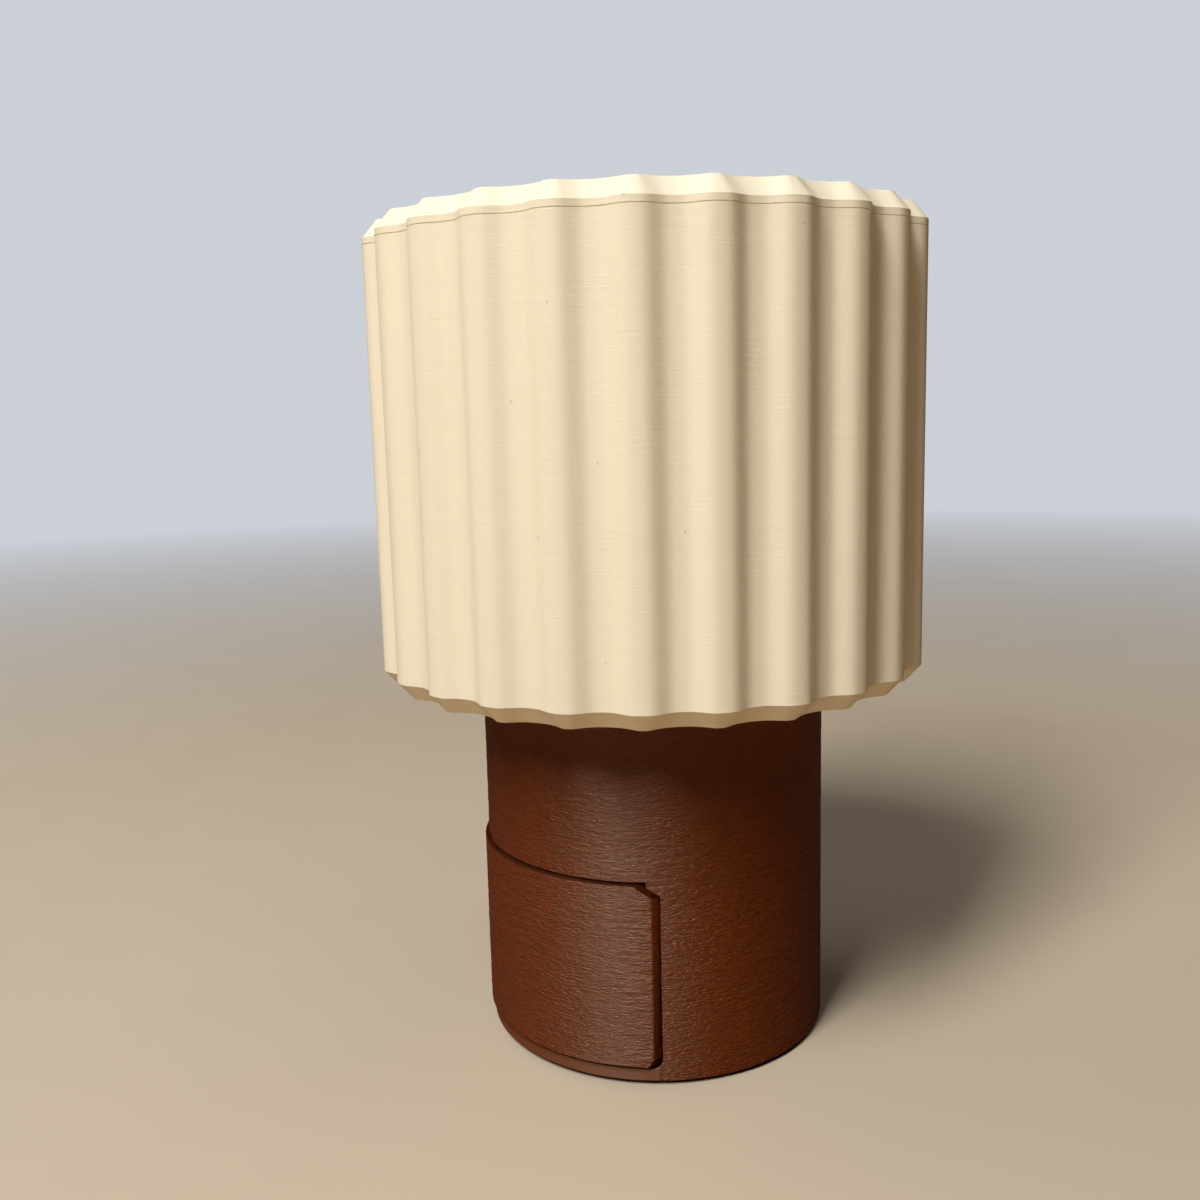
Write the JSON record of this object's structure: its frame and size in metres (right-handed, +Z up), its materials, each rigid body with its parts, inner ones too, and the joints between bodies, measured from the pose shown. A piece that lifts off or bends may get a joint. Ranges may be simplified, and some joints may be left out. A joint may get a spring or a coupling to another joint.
{
  "type": "table lamp with drawer",
  "caption": "Small table lamp with a fluted drum shade and lid on a round base that holds one curved drawer, with a push switch and power socket at the back.",
  "frame": {"origin": "centre of the circle that the feet stand on, on the table surface, under the lamp's axis", "axes": "+Z up along the lamp's axis, the drawer opens towards -Y, the switch and the power socket face +Y"},
  "size_m": [0.1405, 0.1406, 0.2095],
  "materials": {
    "base_print": "printed with a rough leather-like skin, satin",
    "tray_print": "printed, fine layer lines, satin",
    "shade_print": "printed, fine layer lines, satin",
    "carrier_print": "printed, fine layer lines, satin",
    "foot_rubber": "matt",
    "steel": "zinc plated",
    "sink_aluminium": "turned",
    "white_board": "solder mask",
    "green_board": "solder mask",
    "phosphor": "silicone over phosphor",
    "opal": "opal, satin",
    "black_plastic": "moulded, satin",
    "brass": "plain",
    "wire_sleeve": "soft sleeve"
  },
  "bodies": {
    "base": {"lower_housing": "base_print", "upper_housing": "base_print", "feet": "foot_rubber", "housing_screws": "steel", "heat_sink": "sink_aluminium", "heat_sink_screws": "steel", "led_board": "white_board", "led_board_screws": "steel", "led_chips": "phosphor", "diffuser": "opal", "inlet_board": "green_board", "inlet_shell": "steel", "inlet_tongue": "black_plastic", "inlet_screws": "steel", "switch_bezel": "black_plastic", "switch_nut": "steel", "switch_body": "black_plastic", "switch_terminals": "brass", "switch_lead": "wire_sleeve", "led_lead": "wire_sleeve"},
    "drawer": {"drawer_front": "base_print", "drawer_tray": "tray_print", "drawer_screws": "steel"},
    "shade": {"shade_shell": "shade_print", "shade_carrier": "carrier_print"},
    "lid": {"shade_lid": "shade_print"},
    "button": {"switch_button": "black_plastic"}
  },
  "joints": [
    {"name": "drawer_slide", "type": "slide", "parent": "base", "child": "drawer", "axis": [0, -1, 0], "range_m": [0, 0.042]},
    {"name": "shade_lift", "type": "slide", "parent": "base", "child": "shade", "axis": [0, 0, 1], "range_m": [0, 0.06]},
    {"name": "lid_lift", "type": "slide", "parent": "shade", "child": "lid", "axis": [0, 0, 1], "range_m": [0, 0.03]},
    {"name": "switch_press", "type": "slide", "parent": "base", "child": "button", "axis": [0, -1, 0], "range_m": [0, 0.0015], "stiffness_N_per_m": 800}
  ]
}
